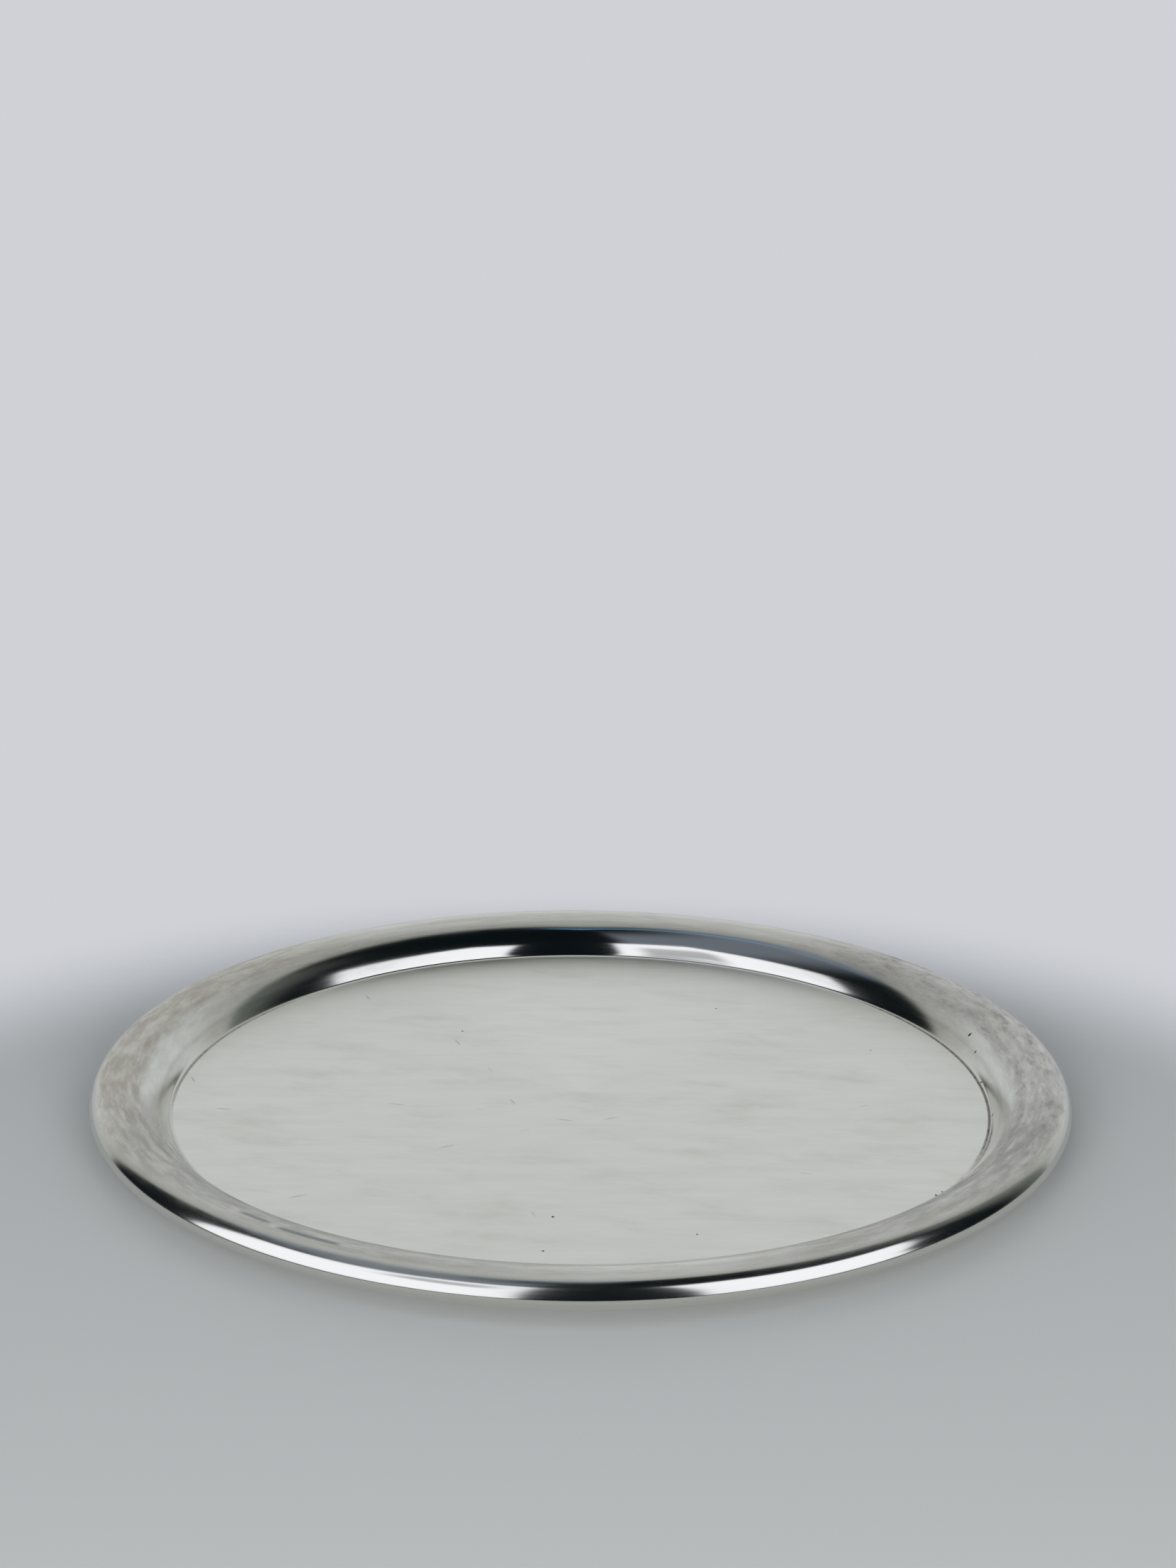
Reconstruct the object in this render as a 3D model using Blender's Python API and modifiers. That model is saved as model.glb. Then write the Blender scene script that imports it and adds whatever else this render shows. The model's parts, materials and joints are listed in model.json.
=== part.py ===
"""Round silver-plated salver: a spun tray, the wire in its rolled edge and a foot ring.

Metres, +Z up. The origin is the centre of the circle that the foot ring stands on.
The tray is one sheet of metal, so its section is a single path of tangent bends
that runs out from the middle, and its wall is that path moved in by the sheet's gauge.
"""
import math

import bpy

# Tray: one sheet, bent from the flat well to the curled edge
SHEET = 0.0012
WELL_RADIUS = 0.1465
CREASE_BEND = 0.0015
BOUGE_BEND = 0.0280
CREST_BEND = 0.0152
ROLL_BEND = 0.0071
BOUGE_FOOT_SLOPE = math.radians(60)
BOUGE_HEAD_SLOPE = math.radians(28)
CREST_OUTER_SLOPE = math.radians(-14)
ROLL_OUTER_SLOPE = math.radians(-75)
CURL_END_SLOPE = math.radians(-330)

# Wire that the edge is curled round
WIRE_RADIUS = 0.0020

# Ring that the salver stands on, soldered under the well
FOOT_RADIUS = 0.1120
FOOT_HEIGHT = 0.0020
FOOT_COLLAR_WIDTH = 0.0034
FOOT_COLLAR_HEIGHT = 0.0004
FOOT_WAIST_WIDTH = 0.0018
FOOT_BASE_WIDTH = 0.0044
FOOT_BEAD_HEIGHT = 0.0006

# Fit and fineness
CLEARANCE = 0.0003
TURN_STEPS = 64
WIRE_SIDES = 8
CREASE_STEPS = 2
BOUGE_STEPS = 5
CREST_STEPS = 4
ROLL_STEPS = 4
CURL_STEPS = 10
COVE_STEPS = 3
SMOOTH_ANGLE = math.radians(40)
MERGE_DISTANCE = 0.00001

# Finishes: linear base colour, metallic, roughness
SILVER_PLATE = ((0.78, 0.77, 0.73, 1.0), 1.0, 0.25)
STEEL_WIRE = ((0.42, 0.42, 0.43, 1.0), 1.0, 0.45)
WORN_PLATE = ((0.66, 0.64, 0.58, 1.0), 1.0, 0.35)


def clear_scene():
    """Remove every object, so that the script gives the same scene each run."""
    for item in list(bpy.data.objects):
        bpy.data.objects.remove(item, do_unlink=True)


def new_collection(name):
    """Make a collection under the scene's own."""
    collection = bpy.data.collections.new(name)
    bpy.context.scene.collection.children.link(collection)
    return collection


def metal(name, finish):
    """Make a Principled metal from a colour, a metallic value and a roughness."""
    colour, metallic, roughness = finish
    material = bpy.data.materials.new(name)
    material.use_nodes = True
    shader = material.node_tree.nodes["Principled BSDF"]
    shader.inputs["Base Color"].default_value = colour
    shader.inputs["Metallic"].default_value = metallic
    shader.inputs["Roughness"].default_value = roughness
    return material


def well_top():
    """Height of the well's upper face over the surface the salver stands on."""
    return FOOT_HEIGHT + CLEARANCE + SHEET


def curl_radius():
    """Outer radius of the curl that wraps the wire."""
    return WIRE_RADIUS + CLEARANCE + SHEET


def bend(path, radius, end_slope, steps):
    """Carry a path of (radius, height, slope) on round an arc, tangent to its last point.

    A slope that falls bends the sheet down over a centre below it, and one that
    rises bends it up round a centre above it.
    """
    start_x, start_z, start_slope = path[-1]
    side = 1 if end_slope < start_slope else -1
    for step in range(1, steps + 1):
        slope = start_slope + (end_slope - start_slope) * step / steps
        across = side * radius * (math.sin(start_slope) - math.sin(slope))
        up = side * radius * (math.cos(slope) - math.cos(start_slope))
        path.append((start_x + across, start_z + up, slope))


def rim_path():
    """Upper face of the tray's sheet, from its middle to the end of the curl."""
    path = [(0.0, well_top(), 0.0), (WELL_RADIUS, well_top(), 0.0)]
    bend(path, CREASE_BEND, BOUGE_FOOT_SLOPE, CREASE_STEPS)
    bend(path, BOUGE_BEND, BOUGE_HEAD_SLOPE, BOUGE_STEPS)
    bend(path, CREST_BEND, CREST_OUTER_SLOPE, CREST_STEPS)
    bend(path, ROLL_BEND, ROLL_OUTER_SLOPE, ROLL_STEPS)
    bend(path, curl_radius(), CURL_END_SLOPE, CURL_STEPS)
    return path


def inset(point, distance):
    """Move a point of the path off its face, into the sheet."""
    x, z, slope = point
    return (x + distance * math.sin(slope), z - distance * math.cos(slope))


def wire_centre():
    """Section point at the middle of the curl, where the wire lies."""
    curl_start = rim_path()[-1 - CURL_STEPS]
    return inset(curl_start, curl_radius())


def tray_section():
    """Closed section of the sheet: out along its upper face and back along its lower."""
    path = rim_path()
    upper = [(x, z) for x, z, slope in path]
    lower = [inset(point, SHEET) for point in reversed(path)]
    return upper + lower


def foot_section():
    """Closed section of the foot ring: a collar, a cove down to a wider bead, a flat base."""
    cove_top = FOOT_HEIGHT - FOOT_COLLAR_HEIGHT
    cove_drop = cove_top - FOOT_BEAD_HEIGHT
    flare = (FOOT_BASE_WIDTH - FOOT_WAIST_WIDTH) / 2
    side = [(FOOT_COLLAR_WIDTH / 2, FOOT_HEIGHT), (FOOT_COLLAR_WIDTH / 2, cove_top)]
    for step in range(COVE_STEPS + 1):
        angle = math.pi / 2 * step / COVE_STEPS
        half = FOOT_WAIST_WIDTH / 2 + flare * (1 - math.cos(angle))
        side.append((half, cove_top - cove_drop * math.sin(angle)))
    side.append((FOOT_BASE_WIDTH / 2, 0.0))
    outer = [(FOOT_RADIUS + half, z) for half, z in side]
    inner = [(FOOT_RADIUS - half, z) for half, z in reversed(side)]
    return outer + inner


def turned(name, section, material, collection, closed):
    """Turn a section round the Z axis with a Screw modifier."""
    points = [(x, 0.0, z) for x, z in section]
    edges = [(index, index + 1) for index in range(len(points) - 1)]
    if closed:
        edges.append((len(points) - 1, 0))
    mesh = bpy.data.meshes.new(name)
    mesh.from_pydata(points, edges, [])
    mesh.materials.append(material)
    item = bpy.data.objects.new(name, mesh)
    collection.objects.link(item)
    screw = item.modifiers.new("turn", "SCREW")
    screw.axis = "Z"
    screw.angle = math.tau
    screw.steps = TURN_STEPS
    screw.render_steps = TURN_STEPS
    screw.use_merge_vertices = True
    screw.merge_threshold = MERGE_DISTANCE
    screw.use_smooth_shade = True
    return item


def ring_of_wire(name, material, collection):
    """Bend the stiffening wire into a ring inside the curl."""
    centre_x, centre_z = wire_centre()
    bpy.ops.mesh.primitive_torus_add(
        major_radius=centre_x,
        minor_radius=WIRE_RADIUS,
        major_segments=TURN_STEPS,
        minor_segments=WIRE_SIDES,
        location=(0.0, 0.0, centre_z),
    )
    item = bpy.context.object
    item.name = name
    item.data.name = name
    item.data.materials.append(material)
    item.data.shade_smooth()
    item.data.set_sharp_from_angle(angle=SMOOTH_ANGLE)
    for owner in list(item.users_collection):
        owner.objects.unlink(item)
    collection.objects.link(item)
    return item


clear_scene()
salver = new_collection("silver_salver")
turned("tray_body", tray_section(), metal("silver_plate", SILVER_PLATE), salver, closed=False)
ring_of_wire("edge_wire", metal("steel_wire", STEEL_WIRE), salver)
turned("foot_ring", foot_section(), metal("worn_plate", WORN_PLATE), salver, closed=True)
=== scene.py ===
"""Round silver-plated salver: the looks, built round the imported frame."""
import json
import math

import bpy
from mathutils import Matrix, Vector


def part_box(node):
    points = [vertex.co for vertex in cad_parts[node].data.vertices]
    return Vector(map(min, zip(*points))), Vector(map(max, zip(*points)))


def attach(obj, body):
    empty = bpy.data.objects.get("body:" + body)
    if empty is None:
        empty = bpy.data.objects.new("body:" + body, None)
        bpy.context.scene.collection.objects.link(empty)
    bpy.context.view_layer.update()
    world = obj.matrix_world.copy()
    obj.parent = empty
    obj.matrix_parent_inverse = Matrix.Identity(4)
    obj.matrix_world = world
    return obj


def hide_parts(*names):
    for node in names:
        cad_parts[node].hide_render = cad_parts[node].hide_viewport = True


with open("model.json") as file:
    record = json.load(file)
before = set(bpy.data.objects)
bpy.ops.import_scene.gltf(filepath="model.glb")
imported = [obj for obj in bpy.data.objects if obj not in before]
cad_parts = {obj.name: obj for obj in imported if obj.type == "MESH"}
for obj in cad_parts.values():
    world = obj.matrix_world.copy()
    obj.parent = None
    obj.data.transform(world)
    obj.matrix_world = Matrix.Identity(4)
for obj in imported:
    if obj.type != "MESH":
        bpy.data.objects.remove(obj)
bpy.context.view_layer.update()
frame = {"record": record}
mounts = {mount["name"]: mount for mount in frame["record"]["mounts"]}


# Tray body. One sheet of nickel silver, 1.2 mm thick, spun over a chuck into a flat well,
# a bouge and a low rim, its edge curled under round a wire, then silver plated.
# Its section is a path of tangent bends, and a Geometry Nodes tree turns it.
SHEET = 0.0012
WELL_RADIUS = 0.1465
WELL_TOP = mounts["well_top"]["pos_m"][2]
CREASE_BEND = 0.0015
BOUGE_BEND = 0.0280
CREST_BEND = 0.0152
ROLL_BEND = 0.0071
BOUGE_FOOT_SLOPE = math.radians(60)
BOUGE_HEAD_SLOPE = math.radians(28)
CREST_OUTER_SLOPE = math.radians(-14)
ROLL_OUTER_SLOPE = math.radians(-75)
CURL_END_SLOPE = math.radians(-330)
WIRE_GAP = 0.0003
WIRE_LOW, WIRE_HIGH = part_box("edge_wire")
WIRE_RADIUS = (WIRE_HIGH.z - WIRE_LOW.z) / 2
CURL_BEND = WIRE_RADIUS + WIRE_GAP + SHEET
WELL_RINGS = (0.0, 0.25, 0.5, 0.75, 0.93, 0.985, 0.997, 1.0)
CREASE_STEPS = 8
BOUGE_STEPS = 18
CREST_STEPS = 16
ROLL_STEPS = 16
CURL_STEPS = 30
TRAY_TURN_STEPS = 360
WELD_DISTANCE = 0.000002


def add(tree, kind, inputs=None, **settings):
    """Add a node to a tree, with its settings, and set or link its inputs."""
    node = tree.nodes.new(kind)
    for name, value in settings.items():
        setattr(node, name, value)
    for key, value in (inputs or {}).items():
        if isinstance(value, bpy.types.NodeSocket):
            tree.links.new(value, node.inputs[key])
        else:
            node.inputs[key].default_value = value
    return node


def bend(path, radius, end_slope, steps):
    """Carry a path of (radius, height, slope) on round an arc, tangent to its last point."""
    start_x, start_z, start_slope = path[-1]
    side = 1 if end_slope < start_slope else -1
    for step in range(1, steps + 1):
        slope = start_slope + (end_slope - start_slope) * step / steps
        across = side * radius * (math.sin(start_slope) - math.sin(slope))
        up = side * radius * (math.cos(slope) - math.cos(start_slope))
        path.append((start_x + across, start_z + up, slope))


def turning_tree():
    """Geometry Nodes that turn an object's own section, drawn in the XZ plane, round Z."""
    tree = bpy.data.node_groups.new("turn a section", "GeometryNodeTree")
    tree.interface.new_socket("Section", in_out="INPUT", socket_type="NodeSocketGeometry")
    tree.interface.new_socket("Turn Steps", in_out="INPUT", socket_type="NodeSocketInt")
    tree.interface.new_socket("Weld Distance", in_out="INPUT", socket_type="NodeSocketFloat")
    tree.interface.new_socket("Metal", in_out="INPUT", socket_type="NodeSocketMaterial")
    tree.interface.new_socket("Turned", in_out="OUTPUT", socket_type="NodeSocketGeometry")
    given = add(tree, "NodeGroupInput").outputs
    count = add(tree, "GeometryNodeAttributeDomainSize", {"Geometry": given["Section"]})
    count = count.outputs["Point Count"]
    rows = add(tree, "ShaderNodeMath", {0: given["Turn Steps"], 1: 1.0}, operation="ADD")
    grid = add(tree, "GeometryNodeMeshGrid", {"Vertices X": rows.outputs[0], "Vertices Y": count})
    index = add(tree, "GeometryNodeInputIndex").outputs[0]
    along = add(tree, "ShaderNodeMath", {0: index, 1: count}, operation="FLOORED_MODULO")
    turns = add(tree, "ShaderNodeMath", {0: index, 1: count}, operation="DIVIDE")
    turns = add(tree, "ShaderNodeMath", {0: turns.outputs[0]}, operation="FLOOR")
    share = {0: turns.outputs[0], 1: given["Turn Steps"]}
    share = add(tree, "ShaderNodeMath", share, operation="DIVIDE")
    angle = add(tree, "ShaderNodeMath", {0: share.outputs[0], 1: math.tau}, operation="MULTIPLY")
    position = add(tree, "GeometryNodeInputPosition").outputs[0]
    picked = {"Geometry": given["Section"], "Value": position, "Index": along.outputs[0]}
    point = add(tree, "GeometryNodeSampleIndex", picked, data_type="FLOAT_VECTOR")
    stored = add(tree, "GeometryNodeInputNamedAttribute", {"Name": "reach"}, data_type="FLOAT")
    stored = stored.outputs["Attribute"]
    picked = {"Geometry": given["Section"], "Value": stored, "Index": along.outputs[0]}
    reach = add(tree, "GeometryNodeSampleIndex", picked, data_type="FLOAT")
    turned = {"Vector": point.outputs[0], "Angle": angle.outputs[0]}
    turned = add(tree, "ShaderNodeVectorRotate", turned, rotation_type="Z_AXIS")
    placed = {"Geometry": grid.outputs["Mesh"], "Position": turned.outputs[0]}
    placed = add(tree, "GeometryNodeSetPosition", placed)
    named = {"Geometry": placed.outputs[0], "Name": "reach", "Value": reach.outputs[0]}
    named = add(tree, "GeometryNodeStoreNamedAttribute", named, data_type="FLOAT", domain="POINT")
    welded = {"Geometry": named.outputs[0], "Distance": given["Weld Distance"]}
    welded = add(tree, "GeometryNodeMergeByDistance", welded)
    outward = add(tree, "GeometryNodeFlipFaces", {"Mesh": welded.outputs[0]})
    smooth = add(tree, "GeometryNodeSetShadeSmooth", {"Geometry": outward.outputs[0]})
    real = add(tree, "GeometryNodeRealizeInstances", {"Geometry": smooth.outputs[0]})
    clad = {"Geometry": real.outputs[0], "Material": given["Metal"]}
    clad = add(tree, "GeometryNodeSetMaterial", clad)
    add(tree, "NodeGroupOutput", {"Turned": clad.outputs[0]})
    return tree


turning = turning_tree()


def turn(name, section, steps, metal):
    """Turn a section of (radius, height) points into a plain mesh that stores its reach."""
    guide = bpy.data.meshes.new(name + "_section")
    edges = [(i, i + 1) for i in range(len(section) - 1)]
    guide.from_pydata([(x, 0.0, z) for x, z in section], edges, [])
    reach = guide.attributes.new("reach", "FLOAT", "POINT")
    total = 0.0
    for i, (x, z) in enumerate(section):
        if i:
            total += math.dist(section[i - 1], (x, z))
        reach.data[i].value = total
    item = bpy.data.objects.new(name, guide)
    bpy.context.scene.collection.objects.link(item)
    modifier = item.modifiers.new("turn", "NODES")
    modifier.node_group = turning
    sockets = {s.name: s.identifier for s in turning.interface.items_tree}
    modifier[sockets["Turn Steps"]] = steps
    modifier[sockets["Weld Distance"]] = WELD_DISTANCE
    modifier[sockets["Metal"]] = metal
    graph = bpy.context.evaluated_depsgraph_get()
    mesh = bpy.data.meshes.new_from_object(item.evaluated_get(graph))
    item.modifiers.clear()
    item.data = mesh
    mesh.name = name
    bpy.data.meshes.remove(guide)
    return item


rim = [(WELL_RADIUS * share, WELL_TOP, 0.0) for share in WELL_RINGS]
bend(rim, CREASE_BEND, BOUGE_FOOT_SLOPE, CREASE_STEPS)
bend(rim, BOUGE_BEND, BOUGE_HEAD_SLOPE, BOUGE_STEPS)
bend(rim, CREST_BEND, CREST_OUTER_SLOPE, CREST_STEPS)
bend(rim, ROLL_BEND, ROLL_OUTER_SLOPE, ROLL_STEPS)
roll_end = rim[-1]
bend(rim, CURL_BEND, CURL_END_SLOPE, CURL_STEPS)
upper_face = [(x, z) for x, z, slope in rim]
lower_face = [
    (x + SHEET * math.sin(slope), z - SHEET * math.cos(slope)) for x, z, slope in reversed(rim)
]

# Reach, the distance along a section from its first point, tells the tray's zones apart.
CREASE_REACH = WELL_RADIUS + CREASE_BEND * BOUGE_FOOT_SLOPE
BOUGE_REACH = CREASE_REACH + BOUGE_BEND * (BOUGE_FOOT_SLOPE - BOUGE_HEAD_SLOPE)
CREST_REACH = BOUGE_REACH + CREST_BEND * (BOUGE_HEAD_SLOPE - CREST_OUTER_SLOPE)
ROLL_REACH = CREST_REACH + ROLL_BEND * (CREST_OUTER_SLOPE - ROLL_OUTER_SLOPE)
CURL_REACH = ROLL_REACH + CURL_BEND * (ROLL_OUTER_SLOPE - CURL_END_SLOPE)
RIM_RADIUS = (WELL_RADIUS + roll_end[0]) / 2
MM = 0.001


def srgb(code):
    """Turn a hex colour into linear red, green, blue and alpha."""
    parts = [int(code[i:i + 2], 16) / 255 for i in (1, 3, 5)]
    linear = [p / 12.92 if p <= 0.04045 else ((p + 0.055) / 1.055) ** 2.4 for p in parts]
    return (*linear, 1.0)


def band(tree, value, low, high, soft):
    """Mask that is 1 between two edges and fades within soft of each of them."""
    rise = {0: value, 1: low - soft, 2: low + soft}
    rise = add(tree, "ShaderNodeMapRange", rise, interpolation_type="SMOOTHSTEP")
    fall = {0: value, 1: high - soft, 2: high + soft, 3: 1.0, 4: 0.0}
    fall = add(tree, "ShaderNodeMapRange", fall, interpolation_type="SMOOTHSTEP")
    both = {0: rise.outputs[0], 1: fall.outputs[0]}
    return add(tree, "ShaderNodeMath", both, operation="MULTIPLY").outputs[0]


def sector(tree, heading, middle, half_width, soft):
    """Mask over the part of the circle that lies within half_width degrees of an angle."""
    angle = math.radians(middle)
    toward = {0: heading, 1: (math.cos(angle), math.sin(angle), 0.0)}
    toward = add(tree, "ShaderNodeVectorMath", toward, operation="DOT_PRODUCT").outputs["Value"]
    outer = math.cos(math.radians(half_width + soft))
    inner = math.cos(math.radians(max(half_width - soft, 0)))
    edge = {0: toward, 1: outer, 2: inner}
    return add(tree, "ShaderNodeMapRange", edge, interpolation_type="SMOOTHSTEP").outputs[0]


def round_the_rim(tree, heading, reach, length, width):
    """Noise coordinates in which a feature is length round the rim and width across it."""
    ring = {0: heading, "Scale": RIM_RADIUS / length}
    ring = add(tree, "ShaderNodeVectorMath", ring, operation="SCALE").outputs[0]
    across = add(tree, "ShaderNodeMath", {0: reach, 1: 1 / width}, operation="MULTIPLY").outputs[0]
    across = add(tree, "ShaderNodeCombineXYZ", {"Z": across}).outputs[0]
    return add(tree, "ShaderNodeVectorMath", {0: ring, 1: across}, operation="ADD").outputs[0]


def patches(tree, place, low, high, detail=3.0, roughness=0.55):
    """Mask of noise patches: 0 where the noise is under low, 1 where it is over high."""
    noise = {"Vector": place, "Scale": 1.0, "Detail": detail, "Roughness": roughness}
    noise = add(tree, "ShaderNodeTexNoise", noise).outputs[0]
    edge = {0: noise, 1: low, 2: high}
    return add(tree, "ShaderNodeMapRange", edge, interpolation_type="SMOOTHSTEP").outputs[0]


def overlap(tree, first, *others):
    """Mask of where masks meet, thinned by any plain number among them."""
    for other in others:
        both = {0: first, 1: other}
        first = add(tree, "ShaderNodeMath", both, operation="MULTIPLY").outputs[0]
    return first


def union(tree, first, *others):
    """Mask of where any of several masks is, each as strong as it was."""
    for other in others:
        both = {0: first, 1: other}
        first = add(tree, "ShaderNodeMath", both, operation="MAXIMUM").outputs[0]
    return first


def zone(tree, heading, reach, around, across):
    """Patch of the rim, from (middle, half width, softness) in degrees round it and
    (lowest reach, highest reach, softness) in millimetres across it."""
    low, high, soft = (edge * MM for edge in across)
    return overlap(tree, sector(tree, heading, *around), band(tree, reach, low, high, soft))


def film(tree, under, over, *masks):
    """Colour of one coat under another that lies where the masks meet."""
    both = {0: overlap(tree, *masks), 6: under, 7: over}
    return add(tree, "ShaderNodeMix", both, data_type="RGBA").outputs[2]


def ring_place(tree):
    """Where a point of a turned piece lies: in plan, its heading from the middle, its reach."""
    place = add(tree, "ShaderNodeTexCoord").outputs["Object"]
    reach = add(tree, "ShaderNodeAttribute", attribute_name="reach").outputs["Fac"]
    plan = {0: place, 1: (1.0, 1.0, 0.0)}
    plan = add(tree, "ShaderNodeVectorMath", plan, operation="MULTIPLY").outputs[0]
    heading = add(tree, "ShaderNodeVectorMath", {0: plan}, operation="NORMALIZE").outputs[0]
    return plan, heading, reach


def grain(tree, plan, length, width):
    """Noise coordinates in which a feature is length from left to right and width deep."""
    shrunk = {0: plan, 1: (1 / length, 1 / width, 0.0)}
    return add(tree, "ShaderNodeVectorMath", shrunk, operation="MULTIPLY").outputs[0]


def finish_with(tree, **looks):
    """Set or link a material's looks on its shader: base_color, metallic, roughness, normal."""
    shader = tree.nodes["Principled BSDF"]
    for name, value in looks.items():
        socket = shader.inputs[name.replace("_", " ").title()]
        if isinstance(value, bpy.types.NodeSocket):
            tree.links.new(value, socket)
        else:
            socket.default_value = value


# Worn silver plate: silver over nickel silver, spun, plated and buffed, then wiped and used.
# It gives a nearly white mirror on the bouge and roll, a milky satin on the rubbed well, and
# on the crest brown and mauve tarnish that runs the way the cloth went, round the rim.
plate = bpy.data.materials.new("worn_silver_plate")
plate.use_nodes = True
finish = plate.node_tree
plan, heading, reach = ring_place(finish)

# Parts of the sheet: the well, the top of the rim, and all that lies past the curl's end
in_well = band(finish, reach, -1.0, WELL_RADIUS + 0.4 * MM, 0.5 * MM)
on_crest = band(finish, reach, BOUGE_REACH - 2 * MM, CREST_REACH + 1 * MM, 3 * MM)
beneath = band(finish, reach, CURL_REACH, 1.0, 1 * MM)

# Wipe marks in the well, left to right, and soft grey smudges that lean a little
SMUDGE_TILT = math.radians(7)
wiped = grain(finish, plan, 45 * MM, 9 * MM)
wiped = patches(finish, wiped, 0.35, 0.7, detail=6.0)
fine_wipe = grain(finish, plan, 28 * MM, 2.2 * MM)
fine_wipe = patches(finish, fine_wipe, 0.3, 0.75, detail=4.0)
leaning = {"Vector": plan, "Rotation": (0.0, 0.0, SMUDGE_TILT)}
leaning = add(finish, "ShaderNodeMapping", leaning).outputs[0]
smudges = grain(finish, leaning, 42 * MM, 18 * MM)
smudges = patches(finish, smudges, 0.46, 0.78, detail=7.0, roughness=0.66)

# Tarnish: fine streaks all round the crest, and clouded zones on the flange and the bouge.
# Clouds never quite clear, and the mottling on the right is finer than they are.
LEAST_CLOUD = 0.35
LEAST_MOTTLING = 0.3
MOTTLING_LEFT_IN_CLOUDS = 0.6
streaks = round_the_rim(finish, heading, reach, 16 * MM, 2.0 * MM)
streaks = patches(finish, streaks, 0.36, 0.74, detail=6.0, roughness=0.62)
clouds = round_the_rim(finish, heading, reach, 16 * MM, 3.4 * MM)
clouds = patches(finish, clouds, 0.34, 0.64, detail=8.0, roughness=0.68)
clouds = add(finish, "ShaderNodeMapRange", {0: clouds, 3: LEAST_CLOUD, 4: 1.0}).outputs[0]
mottling = round_the_rim(finish, heading, reach, 6 * MM, 2.6 * MM)
mottling = patches(finish, mottling, 0.36, 0.66, detail=8.0, roughness=0.7)
mottling = add(finish, "ShaderNodeMapRange", {0: mottling, 3: LEAST_MOTTLING, 4: 1.0}).outputs[0]
mottling = union(finish, overlap(finish, mottling, clouds),
                 overlap(finish, clouds, MOTTLING_LEFT_IN_CLOUDS))
left = zone(finish, heading, reach, (172, 38, 16), (161.5, 178, 3))
left = overlap(finish, left, clouds)
right = zone(finish, heading, reach, (8, 44, 12), (159, 178, 3))
right = overlap(finish, right, mottling)
near_right = zone(finish, heading, reach, (-42, 26, 10), (158, 176, 3))
near_right = overlap(finish, near_right, clouds)
near_left = zone(finish, heading, reach, (-128, 30, 16), (150, 176, 4))
near_left = overlap(finish, near_left, clouds)
all_round = overlap(finish, on_crest, streaks, 0.3)
tarnish = union(finish, left, right, near_right, near_left, all_round)

# A thin veil on the bouge, which is clear only at the far side
clear_side = sector(finish, heading, 86, 30, 14)
hazed = {0: 1.0, 1: clear_side}
hazed = add(finish, "ShaderNodeMath", hazed, operation="SUBTRACT").outputs[0]
veil = overlap(finish, hazed, band(finish, reach, 149 * MM, 165 * MM, 2 * MM), clouds, 0.35)

# Dirt in the crease, which a cloth does not reach, and one brown smear beside it
DIRT_LINE = (WELL_RADIUS / MM - 0.3, WELL_RADIUS / MM + 0.7, 0.3)
LEAST_DIRT = 0.7
speckle = round_the_rim(finish, heading, reach, 2.2 * MM, 1.2 * MM)
speckle = patches(finish, speckle, 0.45, 0.7, detail=4.0)
dirty_right = zone(finish, heading, reach, (10, 30, 8), DIRT_LINE)
dirty_left = zone(finish, heading, reach, (162, 20, 8), DIRT_LINE)
dirt = union(finish, dirty_right, overlap(finish, dirty_left, 0.7))
broken = add(finish, "ShaderNodeMapRange", {0: speckle, 3: LEAST_DIRT, 4: 1.0}).outputs[0]
dirt = overlap(finish, dirt, broken)
smear = zone(finish, heading, reach, (-27, 7, 4), (146.5, 152, 1.4))
smear = overlap(finish, smear, speckle)

# Grey rings of old polish that the cloth leaves along the crease and a third up the bouge
low_ring = band(finish, reach, 146.6 * MM, 147.6 * MM, 0.7 * MM)
high_ring = band(finish, reach, 152.0 * MM, 153.6 * MM, 1.0 * MM)
rings = union(finish, low_ring, overlap(finish, high_ring, 0.6))
ringed = union(finish, sector(finish, heading, 195, 60, 25), sector(finish, heading, -5, 40, 20))
rings = overlap(finish, rings, ringed)

# Pits and specks that stand out: (angle, radius from the middle and size in millimetres)
PIT_CORE = 0.55
PITS = (
    (15.5, 152.9, 0.75), (11.2, 150.7, 0.5), (-36.0, 145.0, 0.6), (-34.6, 145.4, 0.45),
    (-94.7, 103.7, 0.6), (4.0, 147.6, 0.5), (-8.0, 147.8, 0.5), (-95.0, 128.0, 0.5),
    (-72.0, 121.0, 0.4), (128.0, 75.0, 0.5), (21.0, 118.0, 0.4), (58.0, 101.0, 0.45),
)
pits = []
for angle, radius, size in PITS:
    turned = math.radians(angle)
    spot = (radius * MM * math.cos(turned), radius * MM * math.sin(turned), 0.0)
    away = {0: plan, 1: spot}
    away = add(finish, "ShaderNodeVectorMath", away, operation="DISTANCE").outputs["Value"]
    edge = {0: away, 1: size * MM, 2: size * PIT_CORE * MM}
    pit = add(finish, "ShaderNodeMapRange", edge, interpolation_type="SMOOTHSTEP").outputs[0]
    pits.append(pit)
pits = union(finish, *pits)

# Rubs on the near left of the flange: (angle, reach in millimetres, half length in degrees)
RUB_HALF_WIDTH = 0.8
RUBS = ((-127.0, 171.0, 2.0), (-119.5, 172.0, 3.8))
rubs = []
for angle, distance, half_length in RUBS:
    across = (distance - RUB_HALF_WIDTH, distance + RUB_HALF_WIDTH, 0.4)
    rubs.append(zone(finish, heading, reach, (angle, half_length, 0.7), across))
rubs = union(finish, *rubs)

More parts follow.
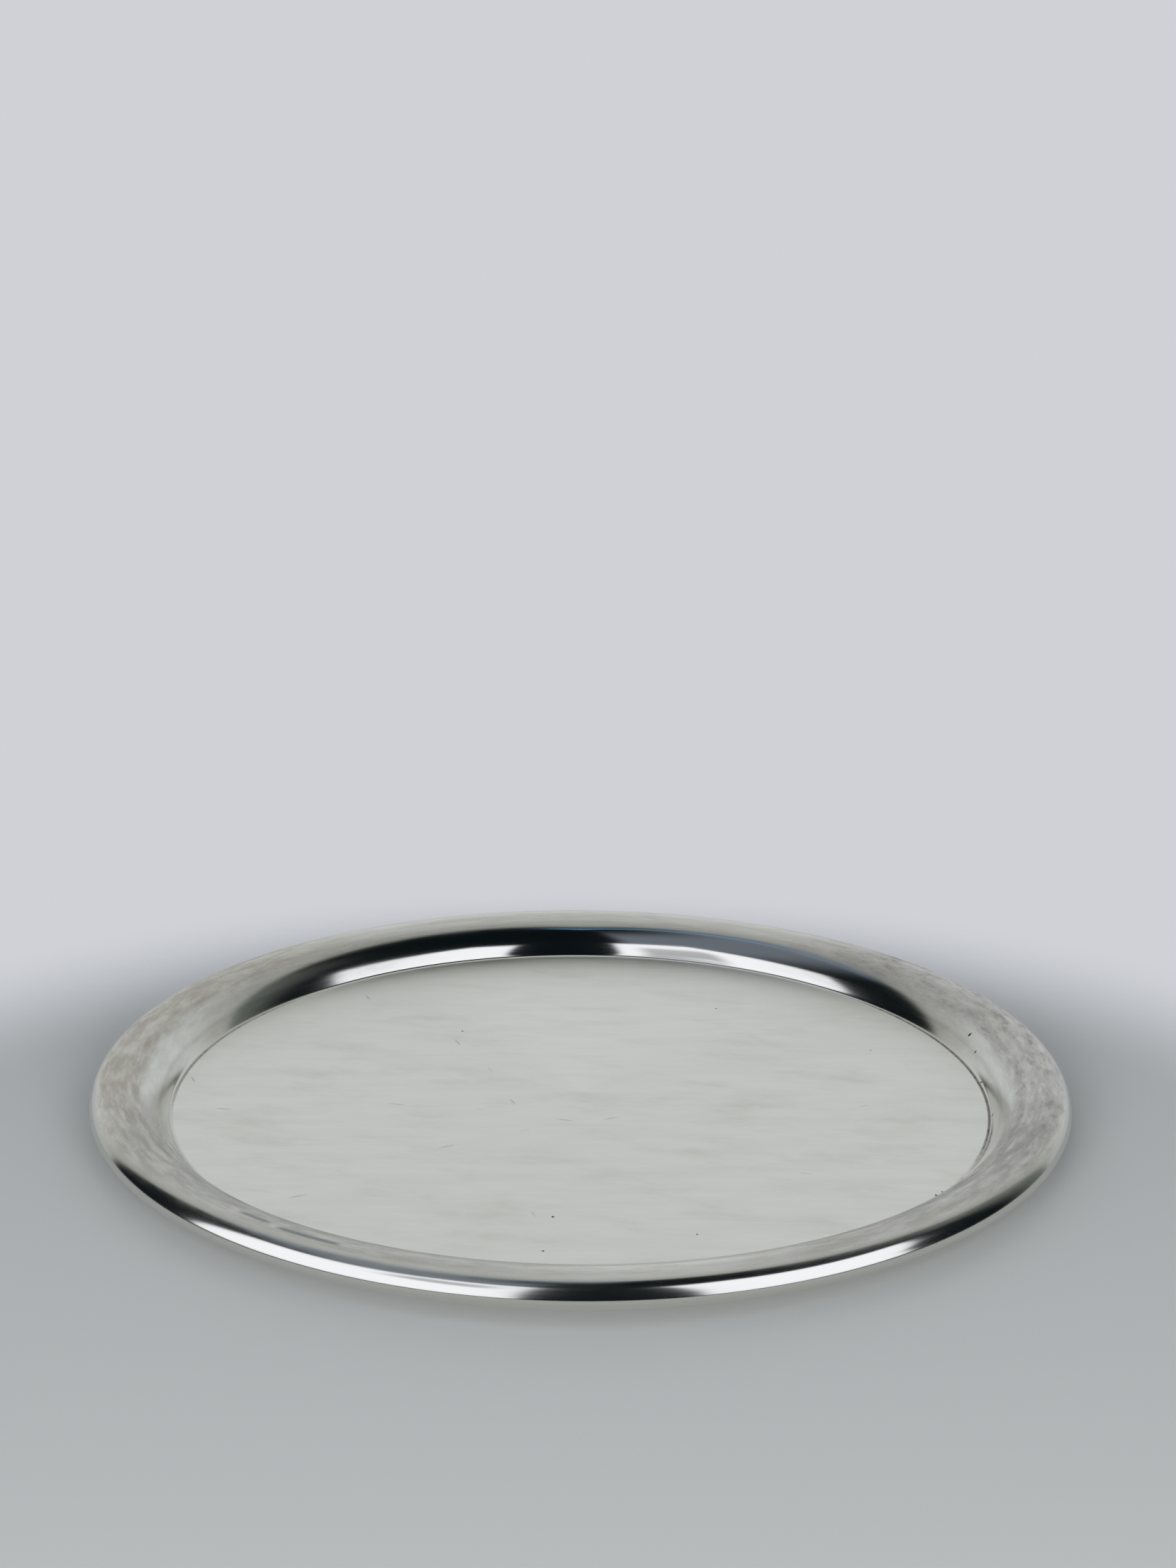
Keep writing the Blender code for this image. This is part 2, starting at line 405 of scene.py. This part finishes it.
# Small scratches in the well, in three directions. Each is the middle of a long random cell,
# and only one cell in fourteen shows its own.
SCRATCH_TILTS = (12, -24, 68)
SCRATCH_SPACING = (30 * MM, 4 * MM)
SCRATCH_RARITY = 0.93
scratches = []
for tilt in SCRATCH_TILTS:
    turned = {"Vector": plan, "Rotation": (0.0, 0.0, math.radians(tilt))}
    turned = add(finish, "ShaderNodeMapping", turned).outputs[0]
    cell = {"Vector": grain(finish, turned, *SCRATCH_SPACING), "Scale": 1.0}
    cell = add(finish, "ShaderNodeTexVoronoi", cell).outputs
    core = add(finish, "ShaderNodeMapRange", {0: cell["Distance"], 1: 0.13, 2: 0.06}).outputs[0]
    chance = add(finish, "ShaderNodeSeparateColor", {0: cell["Color"]}).outputs[0]
    shown = {0: chance, 1: SCRATCH_RARITY}
    shown = add(finish, "ShaderNodeMath", shown, operation="GREATER_THAN").outputs[0]
    scratches.append(overlap(finish, core, shown))
scratches = overlap(finish, union(finish, *scratches), in_well)

# Hairlines from buffing, drawn 0.5 mm wide so that they show, and broad ridges from spinning
hair = round_the_rim(finish, heading, reach, 90 * MM, 0.5 * MM)
hair = {"Vector": hair, "Scale": 1.0, "Detail": 3.0, "Roughness": 0.6}
hair = add(finish, "ShaderNodeTexNoise", hair).outputs[0]
ridge = round_the_rim(finish, heading, reach, 160 * MM, 2.4 * MM)
ridge = {"Vector": ridge, "Scale": 1.0, "Detail": 1.0}
ridge = add(finish, "ShaderNodeTexNoise", ridge).outputs[0]

BRIGHT_SILVER = srgb("#DCDBD3")
RUBBED_SILVER = srgb("#ECEBE3")
BROWN_TARNISH = srgb("#A19883")
MAUVE_TARNISH = srgb("#8B8583")
GREY_FILM = srgb("#96958F")
DIRT = srgb("#4A3A2C")
OLD_POLISH = srgb("#8C8B88")
SMEAR = srgb("#8F7566")
SCRATCH = srgb("#77777A")
PIT = srgb("#16130F")
aged = union(finish, all_round, overlap(finish, beneath, streaks, 0.5))

# Coats on the bright silver, from the lowest up: (colour, the masks it lies in, its strength)
coats = (
    (RUBBED_SILVER, in_well),
    (GREY_FILM, wiped, in_well, 0.035),
    (GREY_FILM, fine_wipe, in_well, 0.035),
    (BROWN_TARNISH, smudges, in_well, 0.2),
    (BROWN_TARNISH, left, 0.68),
    (MAUVE_TARNISH, right, 0.85),
    (GREY_FILM, veil),
    (GREY_FILM, near_right, 0.62),
    (GREY_FILM, near_left, 0.6),
    (BROWN_TARNISH, aged),
    (OLD_POLISH, rings, 0.4),
    (SMEAR, smear, 0.7),
    (DIRT, dirt),
    (SCRATCH, scratches, 0.35),
    (SCRATCH, rubs, 0.7),
    (PIT, pits),
)
colour = BRIGHT_SILVER
for coat, *masks in coats:
    colour = film(finish, colour, coat, *masks)

# Roughness: a polished rim and a rubbed well, then what haze, tarnish, wiping and the
# hairlines add to it. Dirt and pits are rougher than any of them.
WELL_ROUGHNESS = 0.32
POLISHED_ROUGHNESS = 0.08
CREST_ROUGHNESS = 0.22
TARNISH_ROUGHNESS = 0.42
DIRT_ROUGHNESS = 0.7
HAZE_ADDS = 0.05
WIPING_ADDS = 0.03
HAIRLINES_SPREAD = 0.08
rough = {0: in_well, 2: POLISHED_ROUGHNESS, 3: WELL_ROUGHNESS}
rough = add(finish, "ShaderNodeMix", rough, data_type="FLOAT").outputs[0]
rough = {0: overlap(finish, hazed, HAZE_ADDS), 1: rough}
rough = add(finish, "ShaderNodeMath", rough, operation="ADD").outputs[0]
rough = {0: on_crest, 2: rough, 3: CREST_ROUGHNESS}
rough = add(finish, "ShaderNodeMix", rough, data_type="FLOAT").outputs[0]
rough = {0: tarnish, 2: rough, 3: TARNISH_ROUGHNESS}
rough = add(finish, "ShaderNodeMix", rough, data_type="FLOAT").outputs[0]
rough = {0: overlap(finish, wiped, in_well), 1: WIPING_ADDS, 2: rough}
rough = add(finish, "ShaderNodeMath", rough, operation="MULTIPLY_ADD").outputs[0]
rough = {0: hair, 1: HAIRLINES_SPREAD, 2: rough}
rough = add(finish, "ShaderNodeMath", rough, operation="MULTIPLY_ADD").outputs[0]
rough = {0: rough, 1: HAIRLINES_SPREAD / 2}
rough = add(finish, "ShaderNodeMath", rough, operation="SUBTRACT").outputs[0]
soiled = union(finish, pits, dirt)
rough = union(finish, rough, overlap(finish, soiled, DIRT_ROUGHNESS))

# Dirt and pits hide the metal, and tarnish hides a quarter of it
TARNISH_COVER = 0.25
covered = union(finish, pits, dirt, overlap(finish, tarnish, TARNISH_COVER))
metallic = {0: 1.0, 1: covered}
metallic = add(finish, "ShaderNodeMath", metallic, operation="SUBTRACT").outputs[0]

HAIRLINE_DEPTH = 0.0012 * MM
RIDGE_DEPTH = 0.012 * MM
PIT_DEPTH = 0.15 * MM
pit_height = {0: 1.0, 1: pits}
pit_height = add(finish, "ShaderNodeMath", pit_height, operation="SUBTRACT").outputs[0]
skin = add(finish, "ShaderNodeBump", {"Height": pit_height, "Distance": PIT_DEPTH}).outputs[0]
skin = {"Height": ridge, "Distance": RIDGE_DEPTH, "Normal": skin}
skin = add(finish, "ShaderNodeBump", skin).outputs[0]
skin = {"Height": hair, "Distance": HAIRLINE_DEPTH, "Normal": skin}
skin = add(finish, "ShaderNodeBump", skin).outputs[0]
finish_with(finish, base_color=colour, metallic=metallic, roughness=rough, normal=skin)

tray = turn("salver_sheet", upper_face + lower_face, TRAY_TURN_STEPS, plate)
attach(tray, "root")
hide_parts("tray_body")


# Edge wire. A ring of 4 mm drawn steel wire, laid in the edge before it is curled.
# It shows only from below, in the slot that the curl leaves open.
WIRE_TURN_STEPS = 240
WIRE_SIDES = 20
WIRE_MIDDLE_X = WIRE_HIGH.x - WIRE_RADIUS
WIRE_MIDDLE_Z = (WIRE_HIGH.z + WIRE_LOW.z) / 2

# Drawn steel: grey, with die lines along the wire and a little brown rust, which is rough.
STEEL_GREY = srgb("#8A8A8C")
STEEL_LIGHT = srgb("#A9A9AA")
RUST = srgb("#6B4B33")
STEEL_ROUGHNESS = 0.38
RUST_ROUGHNESS = 0.7
RUST_METAL = 0.5
DIE_LINE_DEPTH = 0.01 * MM
steel = bpy.data.materials.new("drawn_steel")
steel.use_nodes = True
finish = steel.node_tree
heading, reach = ring_place(finish)[1:]
die_lines = round_the_rim(finish, heading, reach, 120 * MM, 0.3 * MM)
die_lines = patches(finish, die_lines, 0.3, 0.7)
rust = round_the_rim(finish, heading, reach, 9 * MM, 3 * MM)
rust = patches(finish, rust, 0.55, 0.72, detail=6.0)
colour = film(finish, STEEL_GREY, STEEL_LIGHT, die_lines)
colour = film(finish, colour, RUST, rust, 0.7)
metallic = add(finish, "ShaderNodeMapRange", {0: rust, 3: 1.0, 4: RUST_METAL}).outputs[0]
rough = {0: rust, 3: STEEL_ROUGHNESS, 4: RUST_ROUGHNESS}
rough = add(finish, "ShaderNodeMapRange", rough).outputs[0]
scored = {"Height": die_lines, "Distance": DIE_LINE_DEPTH}
scored = add(finish, "ShaderNodeBump", scored).outputs[0]
finish_with(finish, base_color=colour, metallic=metallic, roughness=rough, normal=scored)

wire_section = []
for step in range(WIRE_SIDES + 1):
    angle = -math.tau * step / WIRE_SIDES
    x = WIRE_MIDDLE_X + WIRE_RADIUS * math.cos(angle)
    wire_section.append((x, WIRE_MIDDLE_Z + WIRE_RADIUS * math.sin(angle)))
wire = turn("stiffening_wire", wire_section, WIRE_TURN_STEPS, steel)
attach(wire, "root")
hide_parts("edge_wire")


# Foot ring. A drawn nickel silver moulding, bent to a ring and soldered under the well:
# a collar that meets the sheet, a cove, and a round bead with a flat that it stands on.
FOOT_RADIUS = mounts["foot_base"]["pos_m"][0]
FOOT_LOW, FOOT_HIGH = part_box("foot_ring")
FOOT_HEIGHT = FOOT_HIGH.z - FOOT_LOW.z
FOOT_BASE_HALF = FOOT_HIGH.x - FOOT_RADIUS
FOOT_COLLAR_HALF = 0.0017
FOOT_WAIST_HALF = 0.0009
FOOT_COLLAR_DROP = 0.0004
FOOT_BEAD_HEIGHT = 0.0006
FOOT_CORNER = 0.00025
FOOT_TURN_STEPS = 300
COVE_STEPS = 8
CORNER_STEPS = 5

foot_side = [(FOOT_COLLAR_HALF - FOOT_CORNER / 2, FOOT_HEIGHT)]
foot_side.append((FOOT_COLLAR_HALF, FOOT_HEIGHT - FOOT_CORNER / 2))
foot_side.append((FOOT_COLLAR_HALF, FOOT_HEIGHT - FOOT_COLLAR_DROP))
cove_drop = FOOT_HEIGHT - FOOT_COLLAR_DROP - FOOT_BEAD_HEIGHT
cove_depth = FOOT_BASE_HALF - FOOT_CORNER - FOOT_WAIST_HALF
for step in range(COVE_STEPS + 1):
    angle = math.pi / 2 * step / COVE_STEPS
    half = FOOT_WAIST_HALF + cove_depth * (1 - math.cos(angle))
    foot_side.append((half, FOOT_BEAD_HEIGHT + cove_drop * (1 - math.sin(angle))))
for step in range(1, CORNER_STEPS + 1):
    angle = math.pi * step / CORNER_STEPS - math.pi / 2
    half = FOOT_BASE_HALF - FOOT_CORNER * (1 - math.cos(angle))
    foot_side.append((half, FOOT_BEAD_HEIGHT / 2 * (1 - math.sin(angle))))
foot_section = [(FOOT_RADIUS + half, z) for half, z in foot_side]
foot_section += [(FOOT_RADIUS - half, z) for half, z in reversed(foot_side)]
foot_section.append(foot_section[0])

# Rubbed plate: dull grey silver with brown tarnish in the cove, worn to yellowish metal and
# scuffed on the flat that slides over tables.
DULL_SILVER = srgb("#D9D6CB")
COVE_TARNISH = srgb("#8D8271")
BARE_METAL = srgb("#C9BD9E")
LEAST_ROUGHNESS = 0.26
SCUFFED_ROUGHNESS = 0.5
TARNISHED_METAL = 0.8
SCUFF_DEPTH = 0.02 * MM
rubbed = bpy.data.materials.new("rubbed_silver_plate")
rubbed.use_nodes = True
finish = rubbed.node_tree
place = add(finish, "ShaderNodeTexCoord").outputs["Object"]
height = add(finish, "ShaderNodeSeparateXYZ", {0: place}).outputs["Z"]
blotch = {"Vector": place, "Scale": 1 / (7 * MM), "Detail": 6.0, "Roughness": 0.6}
blotch = add(finish, "ShaderNodeTexNoise", blotch).outputs[0]
scuff = {"Vector": place, "Scale": 1 / (1.1 * MM), "Detail": 5.0, "Roughness": 0.7}
scuff = add(finish, "ShaderNodeTexNoise", scuff).outputs[0]
blotches = add(finish, "ShaderNodeMapRange", {0: blotch, 1: 0.42, 2: 0.65}).outputs[0]
in_cove = band(finish, height, 0.6 * MM, 1.6 * MM, 0.2 * MM)
on_flat = band(finish, height, -1.0, 0.15 * MM, 0.1 * MM)
dull = union(finish, overlap(finish, in_cove, 0.7), overlap(finish, blotches, 0.6))
colour = film(finish, DULL_SILVER, COVE_TARNISH, dull)
colour = film(finish, colour, BARE_METAL, on_flat, 0.7)
rough = {0: scuff, 1: 0.3, 2: 0.7, 3: LEAST_ROUGHNESS, 4: SCUFFED_ROUGHNESS}
rough = add(finish, "ShaderNodeMapRange", rough).outputs[0]
metallic = add(finish, "ShaderNodeMapRange", {0: dull, 3: 1.0, 4: TARNISHED_METAL}).outputs[0]
scuffed = add(finish, "ShaderNodeBump", {"Height": scuff, "Distance": SCUFF_DEPTH}).outputs[0]
finish_with(finish, base_color=colour, metallic=metallic, roughness=rough, normal=scuffed)

foot = turn("standing_ring", foot_section, FOOT_TURN_STEPS, rubbed)
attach(foot, "root")
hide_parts("foot_ring")


# Solder. Soft solder run into the corner between the foot ring's collar and the sheet,
# inside and outside the ring, which is what holds the ring on.
FILLET = 0.0004
FILLET_STEPS = 5
UNDERSIDE = WELL_TOP - SHEET

# Soft solder: a dull, slightly lumpy grey metal, because it is wiped and not polished.
SOLDER_DARK = srgb("#85868A")
SOLDER_LIGHT = srgb("#B4B4B4")
SOLDER_ROUGHNESS = 0.42
LUMP_DEPTH = 0.12 * MM
solder = bpy.data.materials.new("soft_solder")
solder.use_nodes = True
finish = solder.node_tree
place = add(finish, "ShaderNodeTexCoord").outputs["Object"]
lumps = {"Vector": place, "Scale": 1 / (2.5 * MM), "Detail": 4.0}
lumps = add(finish, "ShaderNodeTexNoise", lumps).outputs[0]
colour = film(finish, SOLDER_DARK, SOLDER_LIGHT, lumps)
lumpy = add(finish, "ShaderNodeBump", {"Height": lumps, "Distance": LUMP_DEPTH}).outputs[0]
finish_with(finish, base_color=colour, metallic=1.0, roughness=SOLDER_ROUGHNESS, normal=lumpy)

for name, way in (("solder_outside", 1), ("solder_inside", -1)):
    wall = FOOT_RADIUS + way * FOOT_COLLAR_HALF
    bottom = FOOT_HEIGHT - FILLET
    bead = [(wall, UNDERSIDE), (wall + way * FILLET, UNDERSIDE)]
    for step in range(1, FILLET_STEPS):
        angle = math.pi / 2 * step / FILLET_STEPS
        across = FILLET * (1 - math.sin(angle))
        bead.append((wall + way * across, bottom + (UNDERSIDE - bottom) * math.cos(angle)))
    bead += [(wall, bottom), (wall, UNDERSIDE)]
    if way < 0:
        bead.reverse()
    joint = turn(name, bead, FOOT_TURN_STEPS, solder)
    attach(joint, "root")


# Studio. A pale matt floor that fades out round the salver into an even backdrop. What the
# metal mirrors is a pale wall behind it and two windows in the dark half of the room in front.
FLOOR_COLOUR = srgb("#C5C8C6")
FLOOR_ROUGHNESS = 0.8
FLOOR_SPECULAR = 0.2
FLOOR_HALF = 6.0
FLOOR_MIDDLE = (0.0, -0.12, 0.0)
FLOOR_FADE_START = 0.25
FLOOR_FADE_END = 0.37
CORNERS = ((-1, -1), (1, -1), (1, 1), (-1, 1))
floor_mesh = bpy.data.meshes.new("floor")
floor_points = [(x * FLOOR_HALF, y * FLOOR_HALF, 0.0) for x, y in CORNERS]
floor_mesh.from_pydata(floor_points, [], [(0, 1, 2, 3)])
floor = bpy.data.objects.new("floor", floor_mesh)
bpy.context.scene.collection.objects.link(floor)
paint = bpy.data.materials.new("pale_matt_floor")
paint.use_nodes = True
finish = paint.node_tree
finish_with(finish, base_color=FLOOR_COLOUR, roughness=FLOOR_ROUGHNESS)
shader = finish.nodes["Principled BSDF"]
shader.inputs["Specular IOR Level"].default_value = FLOOR_SPECULAR
place = add(finish, "ShaderNodeTexCoord").outputs["Object"]
away = {0: place, 1: FLOOR_MIDDLE}
away = add(finish, "ShaderNodeVectorMath", away, operation="DISTANCE").outputs["Value"]
fade = {0: away, 1: FLOOR_FADE_START, 2: FLOOR_FADE_END}
fade = add(finish, "ShaderNodeMapRange", fade, interpolation_type="SMOOTHSTEP").outputs[0]
nothing = add(finish, "ShaderNodeBsdfTransparent").outputs[0]
faded = {0: fade, 1: shader.outputs[0], 2: nothing}
faded = add(finish, "ShaderNodeMixShader", faded).outputs[0]
finish.links.new(faded, finish.nodes["Material Output"].inputs["Surface"])
floor_mesh.materials.append(paint)

# Azimuth runs from -Y, in front of the salver, toward +X; both angles are in degrees.
world = bpy.data.worlds.new("studio")
bpy.context.scene.world = world
world.use_nodes = True
sky = world.node_tree
sky.nodes.clear()
ray = add(sky, "ShaderNodeTexCoord").outputs["Generated"]
axis = add(sky, "ShaderNodeSeparateXYZ", {0: ray}).outputs
forward = add(sky, "ShaderNodeMath", {0: axis["Y"], 1: -1.0}, operation="MULTIPLY").outputs[0]
azimuth = add(sky, "ShaderNodeMath", {0: axis["X"], 1: forward}, operation="ARCTAN2").outputs[0]
azimuth = add(sky, "ShaderNodeMath", {0: azimuth}, operation="DEGREES").outputs[0]
elevation = add(sky, "ShaderNodeMath", {0: axis["Z"]}, operation="ARCSINE").outputs[0]
elevation = add(sky, "ShaderNodeMath", {0: elevation}, operation="DEGREES").outputs[0]
sideways = add(sky, "ShaderNodeMath", {0: axis["X"]}, operation="ABSOLUTE").outputs[0]

# The wall and ceiling behind the salver are lit, up to an edge that passes just behind
# overhead and slants back to both sides. The room in front of that edge is dark.
SLANT = -0.6
WALL_EDGE = 0.035
WALL_EDGE_SOFT = 0.05
WALL_AT_EDGE = srgb("#B6B8B5")
WALL_BRIGHT = srgb("#DDE0E4")
WALL_HIGH_UP = srgb("#A3A6AA")
WALL_LOW_DOWN = srgb("#B9BDC2")
DARK_ROOM = srgb("#0C1317")
DIM_ROOM = srgb("#6A706E")
backward = {0: sideways, 1: SLANT, 2: axis["Y"]}
backward = add(sky, "ShaderNodeMath", backward, operation="MULTIPLY_ADD").outputs[0]
lit = {0: backward, 1: 0.05, 2: 0.5}
lit = add(sky, "ShaderNodeMapRange", lit, interpolation_type="SMOOTHSTEP").outputs[0]
wall = film(sky, WALL_AT_EDGE, WALL_BRIGHT, lit)
upper = add(sky, "ShaderNodeMapRange", {0: elevation, 1: 20.0, 2: 38.0}).outputs[0]
wall = film(sky, wall, WALL_HIGH_UP, upper, 0.35)
near_floor = band(sky, elevation, -90.0, 4.0, 4.0)
wall = film(sky, wall, WALL_LOW_DOWN, near_floor, 0.8)
dim_right = band(sky, backward, -0.2, 1.0, 0.18)
dim_right = overlap(sky, dim_right, band(sky, axis["X"], 0.6, 2.0, 0.12))
room = film(sky, DARK_ROOM, DIM_ROOM, dim_right)
open_wall = {0: backward, 1: WALL_EDGE - WALL_EDGE_SOFT, 2: WALL_EDGE + WALL_EDGE_SOFT}
open_wall = add(sky, "ShaderNodeMapRange", open_wall, interpolation_type="SMOOTHSTEP").outputs[0]
colour = film(sky, room, wall, open_wall)

# A dim glow on the ceiling at the left
CEILING_GLOW = srgb("#7A8290")
ceiling = band(sky, elevation, 52.0, 78.0, 8.0)
ceiling = overlap(sky, ceiling, band(sky, azimuth, -126.0, -18.0, 5.0))
colour = film(sky, colour, CEILING_GLOW, ceiling, 0.9)


def window_pane(tree, azimuth, elevation, sides, middle_top, side_top):
    """Mask of a window between two azimuths, and the height of a ray over its top edge, which
    runs from one elevation at 45 degrees from the front to another at 92 degrees."""
    across = band(tree, azimuth, *sides, 1.6)
    turned_away = add(tree, "ShaderNodeMath", {0: azimuth}, operation="ABSOLUTE").outputs[0]
    head = {0: turned_away, 1: 45.0, 2: 92.0, 3: middle_top, 4: side_top}
    head = add(tree, "ShaderNodeMapRange", head).outputs[0]
    over = {0: elevation, 1: head}
    over = add(tree, "ShaderNodeMath", over, operation="SUBTRACT").outputs[0]
    under_head = band(tree, over, -200.0, 0.0, 1.6)
    over_sill = band(tree, elevation, 1.5, 100.0, 1.5)
    return overlap(tree, under_head, over_sill, across), over


# Daylight is brighter than white, so it is given as linear light. A blind dims a patch near
# the top of the left window, and a curtain narrows the right one's outer side toward its sill.
DAYLIGHT = (1.24, 1.27, 1.40, 1.0)
BLIND_PASSES = 0.45
left_pane, over_left = window_pane(sky, azimuth, elevation, (-90, -13), 60, 42)
blind = band(sky, azimuth, -50.0, -22.0, 4.0)
blind = overlap(sky, blind, band(sky, over_left, -19.0, -6.0, 2.5))
blind = add(sky, "ShaderNodeMapRange", {0: blind, 3: 1.0, 4: BLIND_PASSES}).outputs[0]
colour = film(sky, colour, DAYLIGHT, left_pane, blind)
right_pane = window_pane(sky, azimuth, elevation, (26, 91), 57, 43)[0]
curtain = {0: elevation, 1: 15.0, 2: 44.0, 3: 17.0, 4: 0.0}
curtain = add(sky, "ShaderNodeMapRange", curtain).outputs[0]
curtain = add(sky, "ShaderNodeMath", {0: azimuth, 1: curtain}, operation="ADD").outputs[0]
beside_curtain = band(sky, curtain, 0.0, 91.0, 2.0)
colour = film(sky, colour, DAYLIGHT, right_pane, beside_curtain)

# A thin blue line of light on the ceiling, just in front of the wall's edge
STRIP_BLUE = srgb("#7FB2E0")
strip = band(sky, backward, WALL_EDGE - 0.10, WALL_EDGE - 0.07, 0.012)
strip = overlap(sky, strip, band(sky, axis["X"], -0.6, 0.08, 0.05))
colour = film(sky, colour, STRIP_BLUE, strip, 0.8)

# Seen directly the world is an even pale backdrop, and matt surfaces get a little less of
# the room's light than the metal mirrors.
BACKDROP = srgb("#CFD1D7")
ROOM_LIGHT_ON_FLOOR = 0.8
rays = add(sky, "ShaderNodeLightPath").outputs
colour = film(sky, colour, BACKDROP, rays["Is Camera Ray"])
dimmed = {0: rays["Is Diffuse Ray"], 3: 1.0, 4: ROOM_LIGHT_ON_FLOOR}
dimmed = add(sky, "ShaderNodeMapRange", dimmed).outputs[0]
glow = add(sky, "ShaderNodeBackground", {"Color": colour, "Strength": dimmed})
add(sky, "ShaderNodeOutputWorld", {"Surface": glow.outputs[0]})

# Two soft lamps low in front light the floor right in under the rim. Glossy rays do not see
# them, so they leave no mark on the metal.
LAMP_DISTANCE = 1.6
LAMP_ELEVATION = math.radians(10)
LAMP_SIZE = 0.6
LAMP_WATTS = 20.0
LAMP_HEIGHT = LAMP_DISTANCE * math.sin(LAMP_ELEVATION)
LAMP_REACH = LAMP_DISTANCE * math.cos(LAMP_ELEVATION)
for lamp_side, lamp_azimuth in (("left", -18), ("right", 18)):
    light = bpy.data.lights.new("low_softbox_" + lamp_side, "AREA")
    light.size = LAMP_SIZE
    light.energy = LAMP_WATTS
    lamp = bpy.data.objects.new("low_softbox_" + lamp_side, light)
    lamp_turn = math.radians(lamp_azimuth)
    lamp_x = LAMP_REACH * math.sin(lamp_turn)
    lamp.location = (lamp_x, -LAMP_REACH * math.cos(lamp_turn), LAMP_HEIGHT)
    lamp.rotation_euler = (math.pi / 2 - LAMP_ELEVATION, 0.0, lamp_turn)
    lamp.visible_glossy = False
    bpy.context.scene.collection.objects.link(lamp)

# Camera, in front of the salver and a little over it, with a slight roll
CAMERA_PLACE = (0.0018, -0.7983, 0.3388)
CAMERA_PITCH = math.radians(15.36)
CAMERA_ROLL = math.radians(0.41)
SENSOR_WIDTH_MM = 36.0
FOCAL_LENGTH_MM = 54.2
camera_data = bpy.data.cameras.new("camera")
camera_data.sensor_width = SENSOR_WIDTH_MM
camera_data.lens = FOCAL_LENGTH_MM
camera = bpy.data.objects.new("camera", camera_data)
camera.location = CAMERA_PLACE
camera.rotation_mode = "ZYX"
camera.rotation_euler = (math.pi / 2 - CAMERA_PITCH, 0.0, CAMERA_ROLL)
bpy.context.scene.collection.objects.link(camera)
bpy.context.scene.camera = camera
bpy.context.scene.view_settings.view_transform = "Standard"
